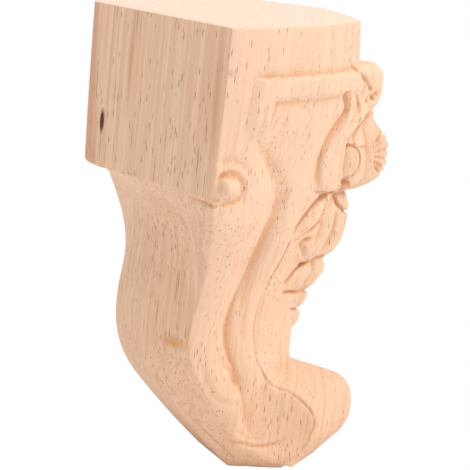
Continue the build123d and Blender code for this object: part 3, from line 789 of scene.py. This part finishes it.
def net_vertices(field, inside, shape):
    """Cells that the surface passes through, and the mean of its crossings in each, in cells."""
    total = np.zeros(shape + (3,), np.float32)
    count = np.zeros(shape, np.uint8)

    def part(array, corner):
        return array[tuple(slice(c, c + n) for c, n in zip(corner, shape))]

    for corner in CELL_CORNERS:
        for axis in range(3):
            if corner[axis]:
                continue
            other = tuple(c + (n == axis) for n, c in enumerate(corner))
            crossed = part(inside, corner) != part(inside, other)
            first = part(field, corner)[crossed]
            second = part(field, other)[crossed]
            place = np.tile(np.array(corner, np.float32), (len(first), 1))
            place[:, axis] += first / (first - second)
            total[crossed] += place
            count[crossed] += 1
    used = count > 0
    return used, np.argwhere(used) + total[used] / count[used][:, None]


def net_faces(inside, numbers):
    """A square across each edge that the surface crosses, facing out of the wood."""
    faces = []
    for axis in range(3):
        second, third = (axis + 1) % 3, (axis + 2) % 3
        low = [slice(1, -1)] * 3
        low[axis] = slice(0, -1)
        high = list(low)
        high[axis] = slice(1, None)
        start, end = inside[tuple(low)], inside[tuple(high)]
        for into, order in ((start & ~end, (0, 1, 2, 3)), (~start & end, (3, 2, 1, 0))):
            base = np.argwhere(into)
            base[:, second] += 1
            base[:, third] += 1
            ring = []
            for step_second, step_third in ((1, 1), (0, 1), (0, 0), (1, 0)):
                cell = base.copy()
                cell[:, second] -= step_second
                cell[:, third] -= step_third
                ring.append(numbers[tuple(cell.T)])
            faces.append(np.column_stack([ring[n] for n in order]))
    return np.vstack(faces)


def surface(grid):
    """Net of the surface where the field passes through nought, on both halves of the leg."""
    field = np.concatenate([grid.field[:0:-1], grid.field], axis=0)
    inside = field < 0
    shape = tuple(n - 1 for n in field.shape)
    used, vertices = net_vertices(field, inside, shape)
    numbers = np.full(shape, -1, np.int32)
    numbers[used] = np.arange(len(vertices))
    origin = np.array([-grid.out[-1], grid.forward[0], grid.up[0]])
    depths = {}
    for name, reach_mm in DEPTH_REACHES:
        soft = blurred(np.clip(field, -2 * reach_mm, 2 * reach_mm), round(reach_mm / grid.step))
        depths[name] = -between(soft, vertices)
    return vertices * grid.step + origin, net_faces(inside, numbers), depths


def placed(name, data):
    """A new object with the data, in the scene."""
    made = bpy.data.objects.new(name, data)
    bpy.context.scene.collection.objects.link(made)
    return made


def leg_mesh(step):
    """The carved leg as a mesh in the frame, which is in metres."""
    grid = Grid(step)
    carve_body(grid)
    carve_toe(grid)
    carve_moulding(grid)
    carve_eye(grid)
    carve_lines(grid)
    carve_ornament(grid)
    trim(grid)
    places, faces, depths = surface(grid)
    places[:, 1] = BLOCK_DEPTH / 2 - places[:, 1]
    places[:, 2] -= LEG_HEIGHT
    mesh = bpy.data.meshes.new("carved_leg_fine")
    mesh.vertices.add(len(places))
    mesh.vertices.foreach_set("co", (places * MM).astype(np.float32).ravel())
    mesh.loops.add(faces.size)
    mesh.loops.foreach_set("vertex_index", faces.ravel())
    mesh.polygons.add(len(faces))
    mesh.polygons.foreach_set("loop_start", np.arange(0, faces.size, 4))
    for name, values in depths.items():
        depth = mesh.attributes.new(name, "FLOAT", "POINT")
        depth.data.foreach_set("value", values.astype(np.float32))
    mesh.update(calc_edges=True)
    mesh.validate()
    mesh.shade_smooth()
    return mesh


def carved_leg():
    """The leg as one object that stands for the frame's plain one."""
    mesh = leg_mesh(GRID_STEP)
    leg = placed("carved_leg_fine", mesh)
    triangles = 2 * len(mesh.polygons)
    if triangles > MOST_TRIANGLES:
        thin = leg.modifiers.new("thin", "DECIMATE")
        thin.ratio = MOST_TRIANGLES / triangles
        thinned = leg.evaluated_get(bpy.context.evaluated_depsgraph_get())
        ready = bpy.data.meshes.new_from_object(thinned)
        leg.modifiers.clear()
        leg.data = ready
        ready.shade_smooth()
    leg.data.materials.clear()
    leg.data.materials.append(wood())
    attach(leg, "root")
    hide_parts("carved_leg")


def node(tree, kind, **values):
    """A shader node with its plain inputs set by name."""
    made = tree.nodes.new(kind)
    for name, value in values.items():
        made.inputs[name].default_value = value
    return made


def stretched(tree, source, scale):
    """Coordinates scaled along each axis."""
    mapping = tree.nodes.new("ShaderNodeMapping")
    mapping.inputs["Scale"].default_value = scale
    tree.links.new(source, mapping.inputs["Vector"])
    return mapping.outputs["Vector"]


def vector_maths(tree, operation, source, value=(0, 0, 0)):
    """A vector put through an operation with a set one."""
    made = tree.nodes.new("ShaderNodeVectorMath")
    made.operation = operation
    tree.links.new(source, made.inputs[0])
    made.inputs[1].default_value = value
    return made.outputs["Value" if operation in ("LENGTH", "DOT_PRODUCT") else "Vector"]


def split(tree, source, part):
    """One part of a vector."""
    made = tree.nodes.new("ShaderNodeSeparateXYZ")
    tree.links.new(source, made.inputs[0])
    return made.outputs[part]


def noise(tree, place, cells, detail=2.0, rough=0.5):
    """Noise over the place, with so many cells along each axis."""
    made = node(tree, "ShaderNodeTexNoise", Scale=1.0, Detail=detail, Roughness=rough)
    tree.links.new(stretched(tree, place, cells), made.inputs["Vector"])
    return made.outputs["Fac"]


def graded(tree, value, low, high, start=0.0, end=1.0):
    """The value mapped from low..high to start..end and held there."""
    made = node(tree, "ShaderNodeMapRange")
    made.clamp = True
    for name, number in (("From Min", low), ("From Max", high), ("To Min", start), ("To Max", end)):
        made.inputs[name].default_value = number
    tree.links.new(value, made.inputs["Value"])
    return made.outputs["Result"]


def mixed(tree, share, first, second):
    """Two colours mixed by a share; each is a socket or a plain colour."""
    made = tree.nodes.new("ShaderNodeMix")
    made.data_type = "RGBA"
    sockets = [made.inputs[0], made.inputs[6], made.inputs[7]]
    for socket, value in zip(sockets, (share, first, second)):
        if isinstance(value, (tuple, float, int)):
            socket.default_value = value
        else:
            tree.links.new(value, socket)
    return made.outputs[2]


def combined(tree, operation, first, second):
    """Two values put through an arithmetic operation."""
    made = tree.nodes.new("ShaderNodeMath")
    made.operation = operation
    for socket, value in zip(made.inputs, (first, second)):
        if isinstance(value, (float, int)):
            socket.default_value = value
        else:
            tree.links.new(value, socket)
    return made.outputs[0]


def times(tree, first, second):
    """One value times another."""
    return combined(tree, "MULTIPLY", first, second)


def tinted(tree, tone, colour, driver, tint, mask=None):
    """The tone mixed towards a colour as its driver rises, only where the mask lets it."""
    low, high, share = tint
    amount = graded(tree, driver, low, high, 0.0, share)
    if mask is not None:
        amount = times(tree, amount, mask)
    return mixed(tree, amount, tone, colour)


def depth_value(tree, name):
    """How deep in a hollow the surface lies, as the mesh holds it."""
    made = tree.nodes.new("ShaderNodeAttribute")
    made.attribute_name = name
    return made.outputs["Fac"]


def spot(tree, place, middle, size, soft):
    """One inside an ellipsoid about the middle, nought outside, soft between."""
    moved = vector_maths(tree, "SUBTRACT", place, middle)
    far = vector_maths(tree, "LENGTH", vector_maths(tree, "DIVIDE", moved, size))
    return graded(tree, far, soft, 1.0, 1.0, 0.0)


def pore_dashes(tree, place, scale, width):
    """Pores: short dashes along the grain, one in each cell of a stretched net of cells."""
    cells = node(tree, "ShaderNodeTexVoronoi", Scale=1.0, Randomness=1.0)
    tree.links.new(stretched(tree, place, scale), cells.inputs["Vector"])
    return graded(tree, cells.outputs["Distance"], width * PORE_CORE, width, 1.0, 0.0)


def growth_rings(tree, place):
    """Noise that changes with the distance from the tree's heart, so that it lies in rings."""
    centred = vector_maths(tree, "SUBTRACT", place, RING_MIDDLE)
    far = vector_maths(tree, "LENGTH", stretched(tree, centred, RING_SQUASH))
    bend = noise(tree, place, BEND_CELLS)
    radius = combined(tree, "ADD", far, times(tree, bend, RING_BEND))
    along = tree.nodes.new("ShaderNodeCombineXYZ")
    tree.links.new(radius, along.inputs["X"])
    return noise(tree, along.outputs["Vector"], RING_CELLS, 3.0, 0.75)


def grain_tone(tree, place, rings, fibre, pores):
    """Pale wood with its rings, patches, streaks and pores, warmer towards the foot."""
    patch = noise(tree, place, PATCH_CELLS, 3.0)
    streak = noise(tree, place, STREAK_CELLS, 2.0, 0.6)
    tone = tinted(tree, WOOD_PALE, WOOD_WARM, rings, RING_TINT)
    tone = tinted(tree, tone, WOOD_WARM, split(tree, place, "Z"), LOW_TINT)
    tone = tinted(tree, tone, WOOD_PINK, patch, PATCH_TINT)
    tone = tinted(tree, tone, WOOD_DEEP, streak, STREAK_TINT)
    tone = tinted(tree, tone, WOOD_DEEP, fibre, FIBRE_TINT)
    return tinted(tree, tone, WOOD_PORE, pores, PORE_TINT)


def face_tone(tree, place, facing, rings, tone):
    """Grain streaks on the inner face that also paint its shade, a redder back strip that is painted
    darker as shade, end grain on top and lines on the toe.
    """
    height = split(tree, place, "Z")
    inner = graded(tree, vector_maths(tree, "DOT_PRODUCT", facing, INNER_FACING), *INNER_EDGE)
    band = noise(tree, place, BAND_CELLS, 3.0, 0.65)
    # The streaks darken the inner face: grain, and painted shade for the side turned from the light.
    tone = tinted(tree, tone, WOOD_DEEP, band, BAND_AND_SHADE_TINT, inner)
    veins = pore_dashes(tree, place, VEIN_CELLS, VEIN_WIDTH)
    tone = tinted(tree, tone, WOOD_PORE, veins, PORE_TINT, inner)
    backward = vector_maths(tree, "DOT_PRODUCT", facing, BACK_FACING)
    # Redder back strip on the block, darkened as painted shade too.
    tone = tinted(tree, tone, ROSE_AND_BACK_SHADE, backward, BACK_TONE_AND_SHADE_TINT, graded(tree, height, *ON_BLOCK))
    grown = tinted(tree, WOOD_END, WOOD_PINK, rings, END_RING_TINT)
    tone = tinted(tree, tone, grown, split(tree, facing, "Z"), END_TINT, graded(tree, height, *ON_TOP))
    on_toe = graded(tree, split(tree, place, "Y"), *BEFORE_TOE)
    on_toe = times(tree, on_toe, graded(tree, height, *BELOW_TOE))
    return tinted(tree, tone, WOOD_DEEP, rings, TOE_TINT, on_toe)


def painted_hollow_shade(tree, place, tone):
    """Painted shade in the hollows: darker the deeper the surface lies, broken up by noise."""
    hollow = depth_value(tree, "hollow")
    # Noise that makes the painted shade in the hollows uneven.
    shade_noise = noise(tree, place, SHADE_NOISE_CELLS, 2.0, 0.7)
    shade_noise = graded(tree, shade_noise, *SHADE_NOISE_EDGE, -SHADE_NOISE_SHARE, SHADE_NOISE_SHARE)
    dip = combined(tree, "ADD", depth_value(tree, "dip"), shade_noise)
    # Painted shade: broad in the dips, stronger in the hollows, near-black at the deepest.
    tone = tinted(tree, tone, HOLLOW_SHADE_COLOUR, dip, DIP_SHADE_TINT)
    tone = tinted(tree, tone, HOLLOW_SHADE_COLOUR, combined(tree, "ADD", hollow, shade_noise), HOLLOW_SHADE_TINT)
    return tinted(tree, tone, DEEP_SHADE_COLOUR, hollow, DEEP_SHADE_TINT)


def wood():
    """Pale hardwood: growth rings, straight grain, open pores and a few marks, with painted shade in the
    hollows, on the inner face and on the back strip.
    """
    material, tree, shader = new_material("pale_wood")
    place = tree.nodes.new("ShaderNodeTexCoord").outputs["Object"]
    facing = tree.nodes.new("ShaderNodeNewGeometry").outputs["Normal"]
    rings = growth_rings(tree, place)
    fibre = noise(tree, place, FIBRE_CELLS, 2.0, 0.6)
    crowd = graded(tree, noise(tree, place, CROWD_CELLS, 1.0), *CROWD_EDGE)
    pores = times(tree, pore_dashes(tree, place, PORE_CELLS, PORE_WIDTH), crowd)
    tone = grain_tone(tree, place, rings, fibre, pores)
    tone = face_tone(tree, place, facing, rings, tone)
    tone = painted_hollow_shade(tree, place, tone)
    for middle, size, soft, colour, share in MARKS:
        mark = spot(tree, place, middle, size, soft)
        tone = tinted(tree, tone, colour, mark, (0.0, 1.0, share))
    tree.links.new(tone, shader.inputs["Base Color"])
    shader.inputs["Roughness"].default_value = ROUGHNESS
    shader.inputs["Specular IOR Level"].default_value = SPECULAR
    bump = node(tree, "ShaderNodeBump", Strength=BUMP_STRENGTH, Distance=BUMP_HEIGHT)
    height = combined(tree, "SUBTRACT", times(tree, fibre, FIBRE_HEIGHT), pores)
    tree.links.new(height, bump.inputs["Height"])
    tree.links.new(bump.outputs["Normal"], shader.inputs["Normal"])
    return material


def main_camera():
    """The camera that the photograph was taken with."""
    turn, pitch, roll = CAMERA_TURN, CAMERA_PITCH, CAMERA_ROLL
    look = Vector((math.cos(pitch) * math.cos(turn), -math.cos(pitch) * math.sin(turn), -math.sin(pitch)))
    right = look.cross(Vector((0, 0, 1))).normalized()
    above = right.cross(look)
    rolled_right = right * math.cos(roll) + above * math.sin(roll)
    rolled_above = above * math.cos(roll) - right * math.sin(roll)
    data = bpy.data.cameras.new("camera")
    data.sensor_width = SENSOR_MM
    data.lens = FOCAL_PIXELS / PICTURE_PIXELS * SENSOR_MM
    data.clip_start = CAMERA_NEAR
    camera = placed("camera", data)
    turned = Matrix((rolled_right, rolled_above, -look)).transposed().to_4x4()
    camera.matrix_world = Matrix.Translation(CAMERA_PLACE) @ turned
    bpy.context.scene.camera = camera


def new_material(name):
    """A material, its node tree and its shader."""
    material = bpy.data.materials.new(name)
    material.use_nodes = True
    return material, material.node_tree, material.node_tree.nodes["Principled BSDF"]


def white_to_camera(tree, plain, white, output):
    """The plain shader for all light, and the white one for what the camera sees."""
    seen = tree.nodes.new("ShaderNodeLightPath").outputs["Is Camera Ray"]
    mix = tree.nodes.new("ShaderNodeMixShader")
    tree.links.new(seen, mix.inputs[0])
    tree.links.new(plain.outputs[0], mix.inputs[1])
    tree.links.new(white.outputs[0], mix.inputs[2])
    tree.links.new(mix.outputs[0], tree.nodes[output].inputs["Surface"])


def floor():
    """Pale floor under the foot, which the camera sees as white."""
    mesh = bpy.data.meshes.new("floor")
    half, height = FLOOR_HALF, -LEG_HEIGHT * MM - FLOOR_GAP
    corners = [(-half, -half, height), (half, -half, height), (half, half, height), (-half, half, height)]
    mesh.from_pydata(corners, [], [(0, 1, 2, 3)])
    material, tree, shader = new_material("floor_white")
    shader.inputs["Base Color"].default_value = FLOOR_COLOUR
    shader.inputs["Roughness"].default_value = FLOOR_ROUGHNESS
    white = node(tree, "ShaderNodeEmission", Color=WHITE, Strength=1.0)
    white_to_camera(tree, shader, white, "Material Output")
    mesh.materials.append(material)
    made = placed("floor", mesh)


def area_lamp(name, place, aim, size, power, colour):
    """A soft square lamp aimed at a place."""
    data = bpy.data.lights.new(name, "AREA")
    data.size = size
    data.energy = power
    data.color = colour
    lamp = placed(name, data)
    lamp.location = place
    lamp.rotation_euler = (Vector(aim) - Vector(place)).to_track_quat("-Z", "Y").to_euler()


def lights():
    """Even white surroundings with a soft key on the outer face."""
    world = bpy.data.worlds.new("white_room")
    bpy.context.scene.world = world
    world.use_nodes = True
    tree = world.node_tree
    room = tree.nodes["Background"]
    room.inputs["Color"].default_value = WHITE
    room.inputs["Strength"].default_value = ROOM_LIGHT
    white = node(tree, "ShaderNodeBackground", Color=WHITE, Strength=1.0)
    white_to_camera(tree, room, white, "World Output")
    for row in LAMPS:
        area_lamp(*row)


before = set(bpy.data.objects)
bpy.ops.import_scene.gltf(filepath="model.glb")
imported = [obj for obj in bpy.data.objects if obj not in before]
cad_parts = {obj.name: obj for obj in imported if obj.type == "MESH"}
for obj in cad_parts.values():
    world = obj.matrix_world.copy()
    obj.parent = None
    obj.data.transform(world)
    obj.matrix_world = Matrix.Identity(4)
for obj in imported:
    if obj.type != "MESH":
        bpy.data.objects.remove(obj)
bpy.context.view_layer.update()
bpy.context.scene.view_settings.view_transform = "Standard"
main_camera()
floor()
lights()
carved_leg()
